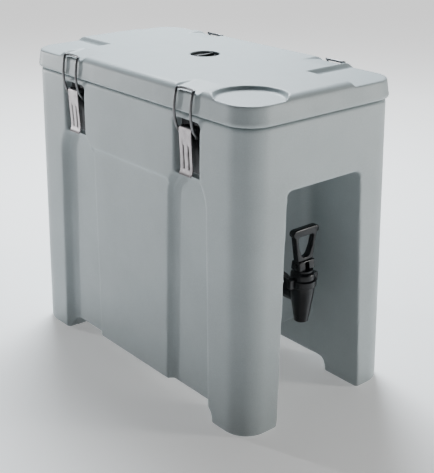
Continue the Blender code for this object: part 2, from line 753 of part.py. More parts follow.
def coupling_nut(looks):
    """The round union nut that draws the faucet to the shank."""
    big, lip = UNION_FLANGE_R + GAP, INLET_R + GAP
    outline = [(NUT_R - 0.001, NUT_BACK_Y), (NUT_R, NUT_BACK_Y - 0.002), (NUT_R, NUT_FRONT_Y + 0.002)]
    outline += [(NUT_R - 0.002, NUT_FRONT_Y), (lip, NUT_FRONT_Y), (lip, NUT_LIP_Y), (big, NUT_LIP_Y)]
    outline += [(big, NUT_BACK_Y)]
    return finish(turned("coupling_nut", outline, (0, 0, SHANK_Z), "Y", 20, closed=True), looks)


def faucet_body(looks):
    """Inlet, valve barrel and tapered spout in one moulding, hollow all the way."""
    outline = [(SPOUT_R, SPOUT_LOW_Z), (BARREL_R, BARREL_LOW_Z), (BARREL_R, BARREL_TOP_Z)]
    tap = turned("faucet_body", outline, (0, FAUCET_Y, 0), steps=20)
    end = UNION_Y - GAP
    inlet = [(INLET_R, FAUCET_Y + 0.002), (INLET_R, end - FLANGE_THICK), (UNION_FLANGE_R, end - FLANGE_THICK)]
    inlet += [(UNION_FLANGE_R, end)]
    join(tap, turned("inlet", inlet, (0, 0, SHANK_Z), "Y"))
    chamber = drill("chamber", CHAMBER_R, (0, FAUCET_Y, SEAT_Z), (0, FAUCET_Y, BARREL_TOP_Z + 0.01), "Z")
    spout = drill("spout", BORE_R, (0, FAUCET_Y, SPOUT_LOW_Z - 0.01), (0, FAUCET_Y, SEAT_Z + 0.005), "Z")
    bore = drill("bore", BORE_R, (0, FAUCET_Y, SHANK_Z), (0, UNION_Y + 0.01, SHANK_Z), "Y")
    return finish(cut(tap, chamber, spout, bore), looks)


def faucet_bonnet(looks):
    """The screwed top of the valve, with two wings for the hand."""
    neck, low, shoulder = 0.0115, BONNET_LOW_Z, 0.1630
    outline = [(SKIRT_R - 0.0005, low), (SKIRT_R, low + 0.001), (SKIRT_R, SKIRT_TOP_Z)]
    outline += [(BARREL_R, SKIRT_TOP_Z + 0.001), (BARREL_R, shoulder), (neck, shoulder + 0.0025)]
    outline += [(neck, BONNET_TOP_Z)]
    bonnet = turned("faucet_bonnet", outline, (0, FAUCET_Y, 0), steps=20)
    slope, top = WING_X - 0.0035, SKIRT_TOP_Z + 0.0005
    wing = [(-WING_X, low + 0.0007), (WING_X, low + 0.0007), (WING_X, top), (slope, top + 0.0025)]
    wing += [(-slope, top + 0.0025), (-WING_X, top)]
    join(bonnet, slab("wings", wing, FAUCET_Y - 0.003, FAUCET_Y + 0.003, "Y"))
    bore = drill("bore", STEM_R + GAP, (0, FAUCET_Y, low - 0.01), (0, FAUCET_Y, TILT_Z), "Z", 12)
    return finish(cut(bonnet, bore), looks)


def handle_pin_drill():
    return drill("pin_hole", HANDLE_PIN_R + RUN, (-0.02, FAUCET_Y, TILT_Z), (0.02, FAUCET_Y, TILT_Z), "X", 10)


def valve_stem(looks):
    """Round stem with a flat eye at its top, which the handle's pin goes through."""
    outline = [(STEM_R, SEAT_Z + 0.003), (STEM_R, TILT_Z - 0.003), (0.0024, TILT_Z + 0.003)]
    stem = turned("valve_stem", outline, (0, FAUCET_Y, 0), steps=12)
    return finish(cut(stem, handle_pin_drill()), looks)


def seat_cup(looks):
    """The silicone cup on the stem's foot, which closes on the seat and springs the valve shut."""
    bore, rim, sleeve, low = STEM_R + GAP, CHAMBER_R - 0.0008, 0.0052, SEAT_Z + GAP
    outline = [(0.0010, low), (rim, low + 0.0006), (rim, low + 0.005), (sleeve, low + 0.009)]
    outline += [(sleeve, low + 0.0165)]
    cup = turned("seat_cup", outline, (0, FAUCET_Y, 0), steps=16)
    socket = drill("socket", bore, (0, FAUCET_Y, SEAT_Z + 0.0027), (0, FAUCET_Y, BARREL_TOP_Z), "Z", 12)
    return finish(cut(cup, socket), looks)


def faucet_handle(looks):
    """A loop handle on a forked foot, which rocks on the bonnet's top."""
    low_z, neck_z, shoulder_x = TILT_Z + 0.0035, TILT_Z + 0.0070, HANDLE_BAR_X + 0.0010
    outline = [(-0.0110, low_z), (0.0110, low_z), (FORK_X, neck_z), (shoulder_x, HANDLE_BAR_Z - 0.0045)]
    outline += arc((HANDLE_BAR_X, HANDLE_BAR_Z), HANDLE_BAR_R, -35, 90, 4)
    outline += arc((-HANDLE_BAR_X, HANDLE_BAR_Z), HANDLE_BAR_R, 90, 215, 4)
    outline += [(-shoulder_x, HANDLE_BAR_Z - 0.0045), (-FORK_X, neck_z)]
    handle = slab("faucet_handle", outline, FAUCET_Y - HANDLE_Y, FAUCET_Y + HANDLE_Y, "Y")
    hole_low, hole_top = neck_z + 0.0025, HANDLE_BAR_Z - 0.0052
    hole = [(-0.0050, hole_low), (0.0050, hole_low), (0.0120, hole_top), (-0.0120, hole_top)]
    cut(handle, slab("loop", hole, FAUCET_Y - 0.02, FAUCET_Y + 0.02, "Y"))
    front, rear, foot_z = FAUCET_Y - 0.0075, FAUCET_Y + 0.0075, BONNET_TOP_Z + GAP
    foot = [(front, foot_z), (rear, foot_z), (rear - 0.0015, low_z + 0.002), (front + 0.0015, low_z + 0.002)]
    join(handle, slab("foot", foot, -FORK_X, FORK_X, "X"))
    front, rear, slot_top = FAUCET_Y - 0.02, FAUCET_Y + 0.02, TILT_Z + 0.0042
    slot = [(front, foot_z - 0.01), (rear, foot_z - 0.01), (rear, slot_top), (front, slot_top)]
    cut(handle, slab("slot", slot, -STEM_R - GAP, STEM_R + GAP, "X"))
    return finish(cut(handle, handle_pin_drill()), looks)


def handle_pin(looks):
    outline = headed_pin(HANDLE_PIN_R, 0.0020, FORK_X + GAP, 0.001)
    return finish(turned("handle_pin", outline, (0, FAUCET_Y, TILT_Z), "X", 10), looks)


# Assembly -------------------------------------------------------------------------------------------------


def build():
    clear_scene()
    shell = material("grey_polyethylene", (0.42, 0.46, 0.47), 0.45)
    foam = material("polyurethane_foam", (0.80, 0.70, 0.42), 0.90)
    rubber = material("silicone", (0.75, 0.75, 0.72), 0.60)
    black = material("black_plastic", (0.015, 0.016, 0.018), 0.35)
    steel = material("stainless_steel", (0.62, 0.61, 0.60), 0.28, 1.0)

    body_shell(shell)
    body_foam(foam)
    body_fill_plug(shell)
    lid_shell(shell)
    lid_foam(foam)
    lid_fill_plug(shell)
    lid_gasket(rubber)
    vent_bush(black)
    vent_cap(black)
    vent_o_ring(rubber)

    for side, side_name in ((-1, "left"), (1, "right")):
        for end, end_name in ((-1, "front"), (1, "rear")):
            place = f"{side_name}_{end_name}"
            latch_plate(f"latch_plate_{place}", side, end, steel)
            latch_lever(f"latch_lever_{place}", side, end, steel)
            latch_bail(f"latch_bail_{place}", side, end, steel)
            latch_pin(f"latch_pin_{place}", side, end, steel)
            for y, which in ((-SCREW_Y, "front"), (SCREW_Y, "rear")):
                latch_screw(f"latch_screw_{place}_{which}", side, end * LATCH_Y + y, steel)

    washer("outer_washer", BAY_BACK_Y - GAP, rubber)
    washer("inner_washer", TANK_FRONT_Y + GAP + WASHER_THICK, rubber)
    faucet_shank(black)
    shank_nut(black)
    coupling_nut(black)
    faucet_body(black)
    faucet_bonnet(black)
    valve_stem(steel)
    seat_cup(rubber)
    faucet_handle(black)
    handle_pin(steel)


build()
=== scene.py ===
"""Insulated beverage dispenser: a grey rotomoulded box with a latched lid, a vent and a black faucet.

The pieces are made in the order in which the unit goes together: body, lid, vent, latches and faucet. Metres,
+Z up, the faucet's side faces -Y. "out" is the distance from the middle plane towards a long side.
"""

import json
from math import cos, pi, radians, sin

import bmesh
import bpy
from mathutils import Matrix, Vector

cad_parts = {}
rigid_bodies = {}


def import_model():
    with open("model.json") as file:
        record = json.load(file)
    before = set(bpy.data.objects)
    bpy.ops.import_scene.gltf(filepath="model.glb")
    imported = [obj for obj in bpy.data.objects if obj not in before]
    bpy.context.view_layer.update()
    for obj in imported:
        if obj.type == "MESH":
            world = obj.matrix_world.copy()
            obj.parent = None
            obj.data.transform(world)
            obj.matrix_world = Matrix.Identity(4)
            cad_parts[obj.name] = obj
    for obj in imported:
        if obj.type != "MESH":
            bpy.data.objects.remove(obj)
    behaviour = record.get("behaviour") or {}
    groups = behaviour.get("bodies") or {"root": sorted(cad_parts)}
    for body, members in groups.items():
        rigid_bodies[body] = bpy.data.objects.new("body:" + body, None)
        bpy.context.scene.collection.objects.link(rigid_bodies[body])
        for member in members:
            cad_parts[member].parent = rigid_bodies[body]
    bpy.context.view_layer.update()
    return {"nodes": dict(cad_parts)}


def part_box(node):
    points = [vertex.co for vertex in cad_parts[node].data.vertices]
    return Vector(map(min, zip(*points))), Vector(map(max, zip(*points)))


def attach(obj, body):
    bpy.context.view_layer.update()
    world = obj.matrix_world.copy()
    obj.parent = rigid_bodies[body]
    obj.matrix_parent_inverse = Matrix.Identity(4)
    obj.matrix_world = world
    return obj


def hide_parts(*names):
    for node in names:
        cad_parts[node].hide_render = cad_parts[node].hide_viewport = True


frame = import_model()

nodes = frame["nodes"]
scene = bpy.context.scene
for extra in [item for item in scene.objects if item.name in ("Cube", "Light", "Camera")]:
    bpy.data.objects.remove(extra)


# The body: one hollow skin of grey polyethylene, moulded by turning the mould in an oven, with the tank, the
# faucet's bay, the feet and the reliefs of the sides all in one shot. Rigid foam fills the space in the skin,
# and every edge comes out soft, because the powder doesn't flow into a sharp corner.

class Wired:
    """A number on a shader socket. Sums with it add Math nodes to its finish."""

    def __init__(self, finish, socket):
        self.finish = finish
        self.socket = socket

    def math(self, operation, *values):
        return self.finish.add("Math", {"operation": operation}, dict(enumerate(values)))

    def __add__(self, other):
        return self.math("ADD", self, other)

    def __radd__(self, other):
        return self.math("ADD", other, self)

    def __sub__(self, other):
        return self.math("SUBTRACT", self, other)

    def __rsub__(self, other):
        return self.math("SUBTRACT", other, self)

    def __mul__(self, other):
        return self.math("MULTIPLY", self, other)

    def __rmul__(self, other):
        return self.math("MULTIPLY", other, self)

    def __gt__(self, other):
        return self.math("GREATER_THAN", self, other)


class Finish:
    """A material as it is mixed: add() puts in any node, and set() feeds the surface shader."""

    def __init__(self, name):
        self.material = bpy.data.materials.new(name)
        self.material.use_nodes = True
        self.tree = self.material.node_tree
        self.shader = self.tree.nodes["Principled BSDF"]
        self.place = self.add("TexCoord", output="Object")

    def add(self, kind, settings=None, sockets=None, output=0):
        node = self.tree.nodes.new("ShaderNode" + kind)
        for name, value in (settings or {}).items():
            if name == "stops":
                for stop, (spot, shade) in zip(node.color_ramp.elements, value):
                    stop.position = spot
                    stop.color = (shade, shade, shade, 1)
            else:
                setattr(node, name, value)
        for name, value in (sockets or {}).items():
            self.feed(node.inputs[name], value)
        return Wired(self, node.outputs[output])

    def feed(self, socket, value):
        if isinstance(value, Wired):
            self.tree.links.new(value.socket, socket)
        else:
            socket.default_value = value

    def set(self, **values):
        for name, value in values.items():
            self.feed(self.shader.inputs[name.replace("_", " ")], value)

    def noise(self, scale, detail=2.0, rough=0.5, stretch=(1, 1, 1)):
        """Cloudy noise, scale lumps to the metre, squeezed along an axis by its stretch."""
        spot = self.add("Mapping", {}, {"Vector": self.place, "Scale": stretch})
        sockets = {"Vector": spot, "Scale": scale, "Detail": detail, "Roughness": rough}
        return self.add("TexNoise", {}, sockets)

    def ramp(self, value, low, high):
        """0 up to low, 1 from high."""
        return self.add("ValToRGB", {"stops": ((low, 0), (high, 1))}, {"Fac": value})

    def blend(self, mask, first, second):
        """first where the mask is 0 and second where it is 1, as colours."""
        first, second = (c if isinstance(c, Wired) else (*c, 1) for c in (first, second))
        return self.add("Mix", {"data_type": "RGBA"}, {0: mask, 6: first, 7: second}, output=2)

    def bump(self, height, strength, distance, under=None):
        sockets = {"Height": height, "Strength": strength, "Distance": distance}
        if under:
            sockets["Normal"] = under
        return self.add("Bump", {}, sockets)


def polyethylene(name, colour):
    """Rotomoulded polyethylene: a dull grain, faint clouds of colour, rubbed edges and a few fine scuffs."""
    mix = Finish(name)
    clouds = mix.ramp(mix.noise(16, 3, 0.6), 0.35, 0.65)
    specks = mix.ramp(mix.noise(900, 2, 0.6), 0.40, 0.75)
    edge = mix.ramp(mix.add("NewGeometry", output="Pointiness"), 0.53, 0.62)
    rubbed = edge * mix.ramp(mix.noise(60, 3, 0.7), 0.40, 0.62)
    patches = mix.ramp(mix.noise(9, 2), 0.5, 0.6)
    scuffs = mix.ramp(mix.noise(70, 5, 0.75, (1, 0.25, 6)), 0.66, 0.72) * patches
    dark = tuple(0.93 * c for c in colour)
    pale = tuple(min(1, 1.35 * c + 0.04) for c in colour)
    shade = mix.blend(clouds, dark, colour)
    shade = mix.blend(specks * 0.25, shade, pale)
    shade = mix.blend(rubbed * 0.35, shade, pale)
    shade = mix.blend(scuffs * 0.22, shade, pale)
    mix.set(Base_Color=shade, Roughness=0.50 - 0.06 * clouds + 0.08 * specks + 0.06 * scuffs)
    lumps = mix.bump(mix.noise(45, 2), 0.30, 0.0012)
    grain = mix.bump(mix.noise(750, 2, 0.55), 0.22, 0.00025, lumps)
    mix.set(Normal=grain)
    mix.shader.inputs["Specular IOR Level"].default_value = 0.42
    return mix.material


def finished(piece, material, angle=40):
    """Gives a piece its one material and smooth shading up to an angle in degrees."""
    piece.data.materials.clear()
    piece.data.materials.append(material)
    piece.data.shade_smooth()
    piece.data.set_sharp_from_angle(angle=radians(angle))
    return piece


def piece_of(name, bm):
    """The bmesh as a linked object whose faces point out."""
    bmesh.ops.remove_doubles(bm, verts=bm.verts, dist=1e-6)
    bmesh.ops.recalc_face_normals(bm, faces=bm.faces)
    if bm.calc_volume(signed=True) < 0:
        bmesh.ops.reverse_faces(bm, faces=bm.faces)
    mesh = bpy.data.meshes.new(name)
    bm.to_mesh(mesh)
    bm.free()
    piece = bpy.data.objects.new(name, mesh)
    scene.collection.objects.link(piece)
    return piece


def rounded(bm, geom, radius, segments, affect="EDGES"):
    bmesh.ops.bevel(bm, geom=geom, offset=radius, segments=segments, profile=0.5, affect=affect, material=-1)


def round_edges(bm, radius, segments, chosen):
    """Rounds the edges for which chosen(one end, other end) holds."""
    edges = [edge for edge in bm.edges if chosen(edge.verts[0].co, edge.verts[1].co)]
    rounded(bm, edges, radius, segments)


def same(a, b, *axes):
    """Whether two points share their place along the axes."""
    return all(abs(a[axis] - b[axis]) < 1e-6 for axis in axes)


def block(low, high, place=lambda x, y, z: (x, y, z)):
    """A box between two corners as a bmesh, with its eight corners moved by place."""
    bm = bmesh.new()
    bmesh.ops.create_cube(bm, size=1)
    for vert in bm.verts:
        share = [co + 0.5 for co in vert.co]
        vert.co = place(*(a + (b - a) * t for a, b, t in zip(low, high, share)))
    return bm


def pushed(outline, low, high, place):
    """An outline of (a, b) pairs pushed from one level to another. place turns (a, b, level) into a point."""
    bm = bmesh.new()
    bm.faces.new([bm.verts.new(place(a, b, low)) for a, b in outline])
    slide = bmesh.ops.extrude_face_region(bm, geom=bm.faces[:])["geom"]
    moved = [item for item in slide if isinstance(item, bmesh.types.BMVert)]
    way = Vector(place(0, 0, high)) - Vector(place(0, 0, low))
    bmesh.ops.translate(bm, verts=moved, vec=way)
    return bm


def drill(name, centre, radius, depth, segments, axis="Z", top_radius=None):
    """A round cutter about a centre, which gets wider or narrower towards the end with the top radius."""
    turn = {"X": Matrix.Rotation(pi / 2, 4, "Y"), "Y": Matrix.Rotation(pi / 2, 4, "X"), "Z": Matrix()}[axis]
    bm = bmesh.new()
    bmesh.ops.create_cone(bm, cap_ends=True, segments=segments, radius1=radius, radius2=top_radius or radius,
                          depth=depth, matrix=Matrix.Translation(centre) @ turn)
    return piece_of(name, bm)


def middle_of(node):
    low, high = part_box(node)
    return (low + high) / 2


def baked(piece):
    """Applies a piece's modifiers."""
    graph = bpy.context.evaluated_depsgraph_get()
    mesh = bpy.data.meshes.new_from_object(piece.evaluated_get(graph))
    piece.modifiers.clear()
    piece.data = mesh
    return piece


def carved(piece, operation, tools):
    """Cuts the tools from a piece, or adds them to it, and clears them away."""
    for tool in tools:
        step = piece.modifiers.new(operation, "BOOLEAN")
        step.operation = operation
        step.object = tool
    baked(piece)
    for tool in tools:
        bpy.data.objects.remove(tool)
    return piece


def softened(piece, grain, passes, triangles):
    """Turns sharp moulded shapes into soft ones: an even skin of small faces is smoothed, then thinned."""
    skin = piece.modifiers.new("skin", "REMESH")
    skin.mode = "VOXEL"
    skin.voxel_size = grain
    soft = piece.modifiers.new("soft", "SMOOTH")
    soft.factor = 0.5
    soft.iterations = passes
    baked(piece)
    thin = piece.modifiers.new("thin", "DECIMATE")
    thin.ratio = min(1, triangles / (2 * len(piece.data.polygons)))
    return baked(piece)


def hollowed(piece, foam):
    """Leaves the foam's room inside a solid piece: the foam's surface, grown by a gap and turned inwards."""
    bm = bmesh.new()
    bm.from_mesh(foam.data)
    bmesh.ops.remove_doubles(bm, verts=bm.verts, dist=1e-6)
    bm.normal_update()
    for vert, way in [(vert, vert.normal.copy()) for vert in bm.verts]:
        vert.co += FOAM_GAP * way
    bmesh.ops.reverse_faces(bm, faces=bm.faces)
    bm.from_mesh(piece.data)
    bm.to_mesh(piece.data)
    bm.free()
    return piece


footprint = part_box("body_shell")[1]
RIM_Z = footprint.z
FLARE = 0.0065  # the foot stands out by this much more than the rim
RIM_X = footprint.x - FLARE
RIM_Y = footprint.y - FLARE
CORNER_R = 0.032  # of the body's and the lid's upright corners
BELOW = -0.02  # cutters that open downwards start here
FOOT_GAP_Z = 0.0185  # height of the gaps between the feet
LATCH_Y = 0.1095  # from the middle to each latch
FOAM_GAP = 0.0003
GREY = (0.345, 0.385, 0.395)
SIDES = (-1, 1)


def flare(z):
    """How much further out the body's wall stands at a height than at its rim."""
    return FLARE * (1 - z / RIM_Z)


def drafted(x, y, z):
    """Spreads a box's corners with the body's draft."""
    return x + flare(z) * (1 if x > 0 else -1), y + flare(z) * (1 if y > 0 else -1), z


def on_wall(side, end):
    """Places (out from the wall, y from the middle, z) on one half of a long side, along its draft."""
    return lambda out, y, z: (side * (RIM_X + flare(z) + out), end * y, z)


bm = block((-RIM_X, -RIM_Y, 0), (RIM_X, RIM_Y, RIM_Z), drafted)
round_edges(bm, CORNER_R, 16, lambda a, b: abs(a.z - b.z) > 0.1)
round_edges(bm, 0.0035, 4, lambda a, b: same(a, b, 2))
body = piece_of("body_skin", bm)

BAY_TOP, BAY_BACK = 0.279, -0.124
BAY_HALF, BAY_LEAN = 0.0665, 0.0109  # half the bay's width at the floor, and how much less it is at the top
BELLY_TOP, BELLY_BACK = 0.068, 0.166  # the hollow under the tank


def bay_sides(narrower):
    """The bay's side walls, which lean in towards its top."""
    return lambda x, y, z: ((BAY_HALF - BAY_LEAN * z / BAY_TOP - narrower) * (1 if x > 0 else -1), y, z)


bm = block((-1, -0.30, BELOW), (1, BAY_BACK, BAY_TOP), bay_sides(0))
round_edges(bm, 0.014, 6, lambda a, b: abs(a.z - b.z) > 0.1 and same(a, b, 1) and a.y > BAY_BACK - 0.01)
round_edges(bm, 0.006, 4, lambda a, b: same(a, b, 2) and a.z > BAY_TOP - 0.001)
tools = [piece_of("bay", bm)]
bm = block((-1, -0.20, BELOW), (1, BELLY_BACK, BELLY_TOP), bay_sides(0.001))
round_edges(bm, 0.014, 6, lambda a, b: abs(a.z - b.z) > 0.05 and same(a, b, 1) and a.y > 0)
tools.append(piece_of("belly", bm))
bm = block((-0.2, -0.1565, BELOW), (0.2, 0.1495, FOOT_GAP_Z))
round_edges(bm, 0.010, 5, lambda a, b: same(a, b, 1, 2) and a.z > 0 and a.y < 0)
round_edges(bm, 0.020, 6, lambda a, b: same(a, b, 1, 2) and a.z > 0 and a.y > 0.14)
tools.append(piece_of("gap_between_feet", bm))
bm = block((-0.0615, 0, BELOW), (0.0615, 0.3, FOOT_GAP_Z))
round_edges(bm, 0.007, 4, lambda a, b: same(a, b, 0, 2) and a.z > 0)
tools.append(piece_of("gap_between_rear_feet", bm))

GROOVE_DEEP, GROOVE_WALL = 0.0095, 0.0065  # depth, and how far its walls lean in
GROOVE = ((0.068, BELOW), (0.152, BELOW), (0.143, 0.2640), (0.1315, 0.2870), (0.0875, 0.2870),
          (0.072, 0.2660))
PROUD = 0.03  # side cutters start this far out from the wall
PANEL_SUNK, PANEL_Y, PANEL_TOP = 0.003, 0.076, 0.2735
POCKET_LOW, POCKET_TOP, POCKET_OUT, POCKET_Y = 0.283, 0.346, 0.1002, 0.0220


def groove(side, end):
    """The tool for one upright groove: its outline on the wall, drawn in towards the groove's floor."""
    bm = bmesh.new()
    bm.faces.new([bm.verts.new((PROUD, y, z)) for y, z in GROOVE])
    rounded(bm, [vert for vert in bm.verts if vert.co.z > 0], 0.009, 5, "VERTICES")
    walls = bmesh.ops.extrude_face_region(bm, geom=bm.faces[:])["geom"]
    floor = [item for item in walls if isinstance(item, bmesh.types.BMVert)]
    bmesh.ops.translate(bm, verts=floor, vec=(-PROUD, 0, 0))
    cap = [item for item in walls if isinstance(item, bmesh.types.BMFace)]
    bmesh.ops.recalc_face_normals(bm, faces=bm.faces)
    bmesh.ops.inset_region(bm, faces=cap, thickness=GROOVE_WALL, depth=0, use_even_offset=True)
    bmesh.ops.translate(bm, verts=cap[0].verts, vec=(-GROOVE_DEEP, 0, 0))
    place = on_wall(side, end)
    for vert in bm.verts:
        vert.co = place(*vert.co)
    return piece_of("groove", bm)


for side in SIDES:
    bm = block((-PANEL_SUNK, -PANEL_Y, BELOW), (PROUD, PANEL_Y, PANEL_TOP), on_wall(side, 1))
    tools.append(piece_of("panel", bm))
    for end in SIDES:
        tools.append(groove(side, end))
        ends = sorted((end * LATCH_Y - POCKET_Y, end * LATCH_Y + POCKET_Y))
        outs = sorted((side * POCKET_OUT, side * 0.2))
        bm = block((outs[0], ends[0], POCKET_LOW), (outs[1], ends[1], POCKET_TOP))
        round_edges(bm, 0.005, 4, lambda a, b: same(a, b, 1, 2) and a.z > POCKET_TOP - 0.001)
        tools.append(piece_of("pocket", bm))

TANK_X, TANK_FRONT, TANK_BACK, TANK_FLOOR = 0.074, -0.086, 0.168, 0.100
bm = block((-TANK_X, TANK_FRONT, TANK_FLOOR), (TANK_X, TANK_BACK, 0.42))
round_edges(bm, 0.025, 8, lambda a, b: abs(a.z - b.z) > 0.1)
round_edges(bm, 0.009, 4, lambda a, b: same(a, b, 2) and a.z < TANK_FLOOR + 0.001)
tools.append(piece_of("tank", bm))
SHANK_Z = middle_of("faucet_shank").z
shank_hole = (0, (BAY_BACK + TANK_FRONT) / 2, SHANK_Z)
tools.append(drill("shank_hole", shank_hole, 0.0098, 0.08, 32, "Y"))
fill_hole = (0, middle_of("body_fill_plug").y, BELLY_TOP)
tools.append(drill("fill_hole", fill_hole, 0.0102, 0.006, 32))

carved(body, "DIFFERENCE", tools)
softened(body, 0.0017, 4, 190000)
hollowed(body, nodes["body_foam"])
finished(body, polyethylene("grey_polyethylene", GREY), 60)
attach(body, "body")
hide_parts("body_shell")


# The lid: a second hollow skin filled with foam, with a plug that drops into the tank. Its top has lowered
# pads and round recesses in the corners, where the feet of a stacked unit stand, and a ramp to each latch's
# ledge.

LID_LOW = RIM_Z + 0.0012
CHAMFER = 0.0012  # of the lid's lower edge
LEDGE = 0.3766
LONGER = RIM_Y - RIM_X
SHOULDER_R, SHOULDER_X, SHOULDER_Z = 0.009, 0.1034, 0.372  # the round over of the lid's top, and its centre
profile = [(LID_LOW + CHAMFER, 0.1144), (0.3580, 0.1144), (0.3625, 0.1136), (0.3720, 0.1124)]
for turn in (pi / 8, pi / 4, 3 * pi / 8, pi / 2):
    profile.append((SHOULDER_Z + SHOULDER_R * sin(turn), SHOULDER_X + SHOULDER_R * cos(turn)))

bm = bmesh.new()
bmesh.ops.create_grid(bm, x_segments=1, y_segments=1, size=1)
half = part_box("lid_shell")[1].x - 0.0014
bmesh.ops.scale(bm, verts=bm.verts, vec=(half, half + LONGER, 1))
bmesh.ops.translate(bm, verts=bm.verts, vec=(0, 0, LID_LOW))
rounded(bm, bm.verts[:], CORNER_R, 16, "VERTICES")
bottom = top = bm.faces[:]
for z, out in profile:
    raised = bmesh.ops.extrude_face_region(bm, geom=top)["geom"]
    inner = [face for face in top if face.is_valid and top is not bottom]
    bmesh.ops.delete(bm, geom=inner, context="FACES_ONLY")
    ring = [item for item in raised if isinstance(item, bmesh.types.BMVert)]
    top = [item for item in raised if isinstance(item, bmesh.types.BMFace)]
    bmesh.ops.translate(bm, verts=ring, vec=(0, 0, z - ring[0].co.z))
    bmesh.ops.scale(bm, verts=ring, vec=(out / half, (out + LONGER) / (half + LONGER), 1))
    half = out
lid = piece_of("lid_skin", bm)

PLUG = ((-0.0715, -0.0835, 0.336), (0.0715, 0.1655, 0.360))
bm = block(*PLUG)
round_edges(bm, 0.023, 8, lambda a, b: abs(a.z - b.z) > 0.01)
round_edges(bm, 0.004, 3, lambda a, b: same(a, b, 2) and a.z < 0.337)
carved(lid, "UNION", [piece_of("plug", bm)])

TOOL_TOP = 0.386  # cutters of the lid's top end here
PAD_Z, PAD_X, PAD_Y, PAD_SLOPE = 0.3755, 0.042, 0.138, 0.7
DISH_X, DISH_Y, DISH_R, DISH_WIDER, DISH_DEPTH = 0.081, 0.175, 0.036, 0.012, 0.02


def pad_corner(side, end):
    """Places the corners of a pad, whose inner walls slope up and away from it."""
    return lambda x, y, z: (side * (x - PAD_SLOPE * (z - PAD_Z)), end * (y - PAD_SLOPE * (z - PAD_Z)), z)


tools = []
for side, end in ((-1, 1), (1, -1)):
    place = pad_corner(side, end)
    bm = block((PAD_X, PAD_Y, PAD_Z), (0.2, 0.3, TOOL_TOP), place)
    inner = [Vector(place(PAD_X, PAD_Y, z)) for z in (PAD_Z, TOOL_TOP)]
    round_edges(bm, 0.010, 5, lambda a, b: all(min((c - a).length, (c - b).length) < 1e-4 for c in inner))
    tools.append(piece_of("pad", bm))
for turn, floor in ((-1, 0.3760), (1, 0.3785)):
    centre = (turn * DISH_X, turn * DISH_Y, floor + DISH_DEPTH / 2)
    tools.append(drill("dish", centre, DISH_R, DISH_DEPTH, 64, top_radius=DISH_R + DISH_WIDER))

NOTCH_Y, NOTCH_SLOPE = 0.0190, 0.9
NOTCH = ((0.076, 0.383), (0.078, 0.3808), (0.1058, LEDGE + 0.0010), (0.1068, LEDGE), (0.1104, LEDGE),
         (0.1124, LEDGE - 0.003), (0.130, LEDGE - 0.006), (0.130, 0.383))
for side in SIDES:
    for end in SIDES:
        bm = pushed(NOTCH, -NOTCH_Y, NOTCH_Y, lambda out, z, y: (side * out, end * LATCH_Y + y, z))
        for vert in bm.verts:
            wider = NOTCH_SLOPE * max(0, vert.co.z - LEDGE)
            vert.co.y += wider * (1 if vert.co.y > end * LATCH_Y else -1)
        tools.append(piece_of("notch", bm))
VENT_X, VENT_Y = 0.013, 0.011
for radius, low, high in ((0.0178, 0.373, 0.40), (0.0132, 0.32, 0.40)):
    tools.append(drill("vent_hole", (VENT_X, VENT_Y, (low + high) / 2), radius, high - low, 48))
carved(lid, "DIFFERENCE", tools)
softened(lid, 0.0013, 4, 160000)
hollowed(lid, nodes["lid_foam"])
finished(lid, polyethylene("grey_polyethylene_lid", GREY), 60)
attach(lid, "lid")
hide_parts("lid_shell")


# The plain pieces that stay out of sight or are round and small: foam, silicone and moulded black plastic.
# They keep the frame's shapes, and get their finishes here: the foam's cells, the silicone's haze, the
# plastic's gloss.

def foam_finish():
    mix = Finish("polyurethane_foam")
    cells = mix.add("TexVoronoi", {}, {"Vector": mix.place, "Scale": 520.0})
    tint = mix.blend(mix.noise(30, 4), (0.72, 0.55, 0.26), (0.83, 0.70, 0.40))
    mix.set(Base_Color=tint, Roughness=0.95)
    mix.set(Normal=mix.bump(cells, 0.5, 0.0006))
    return mix.material


def silicone_finish():
    mix = Finish("silicone")
    haze = mix.noise(80, 3)
    tint = mix.blend(haze, (0.58, 0.58, 0.55), (0.70, 0.70, 0.67))
    mix.set(Base_Color=tint, Roughness=0.50 + 0.15 * haze)
    mix.set(Normal=mix.bump(mix.noise(900, 2), 0.15, 0.0002))
    return mix.material


def black_plastic(name, rough):
    """Glossy black moulding with a faint grain, dust that catches the light and paler rubbed edges."""
    mix = Finish(name)
    dust = mix.ramp(mix.noise(420, 4, 0.7), 0.58, 0.75)
    edge = mix.ramp(mix.add("NewGeometry", output="Pointiness"), 0.54, 0.66)
    shade = mix.blend(dust * 0.4, (0.0040, 0.0042, 0.0056), (0.014, 0.014, 0.016))
    shade = mix.blend(edge * 0.35, shade, (0.035, 0.035, 0.038))
    mix.set(Base_Color=shade, Roughness=rough + 0.12 * dust + 0.05 * mix.noise(60, 2))
    mix.set(Normal=mix.bump(mix.noise(650, 2), 0.10, 0.0002))
    mix.shader.inputs["Specular IOR Level"].default_value = 0.28
    return mix.material


black = black_plastic("black_plastic", 0.26)
for material, plain in (
    (foam_finish(), ("body_foam", "lid_foam")),
    (body.data.materials[0], ("body_fill_plug", "lid_fill_plug")),
    (silicone_finish(), ("lid_gasket", "vent_o_ring", "outer_washer", "inner_washer", "seat_cup")),
    (black, ("vent_bush", "faucet_shank", "shank_nut")),
):
    for node in plain:
        finished(nodes[node], material)


# The vent: a black cap in a round recess of the lid. It sits on a bush and an O-ring, and a rib across it is
# there to turn it open when the drink is let out.

TURN_STEPS = 72


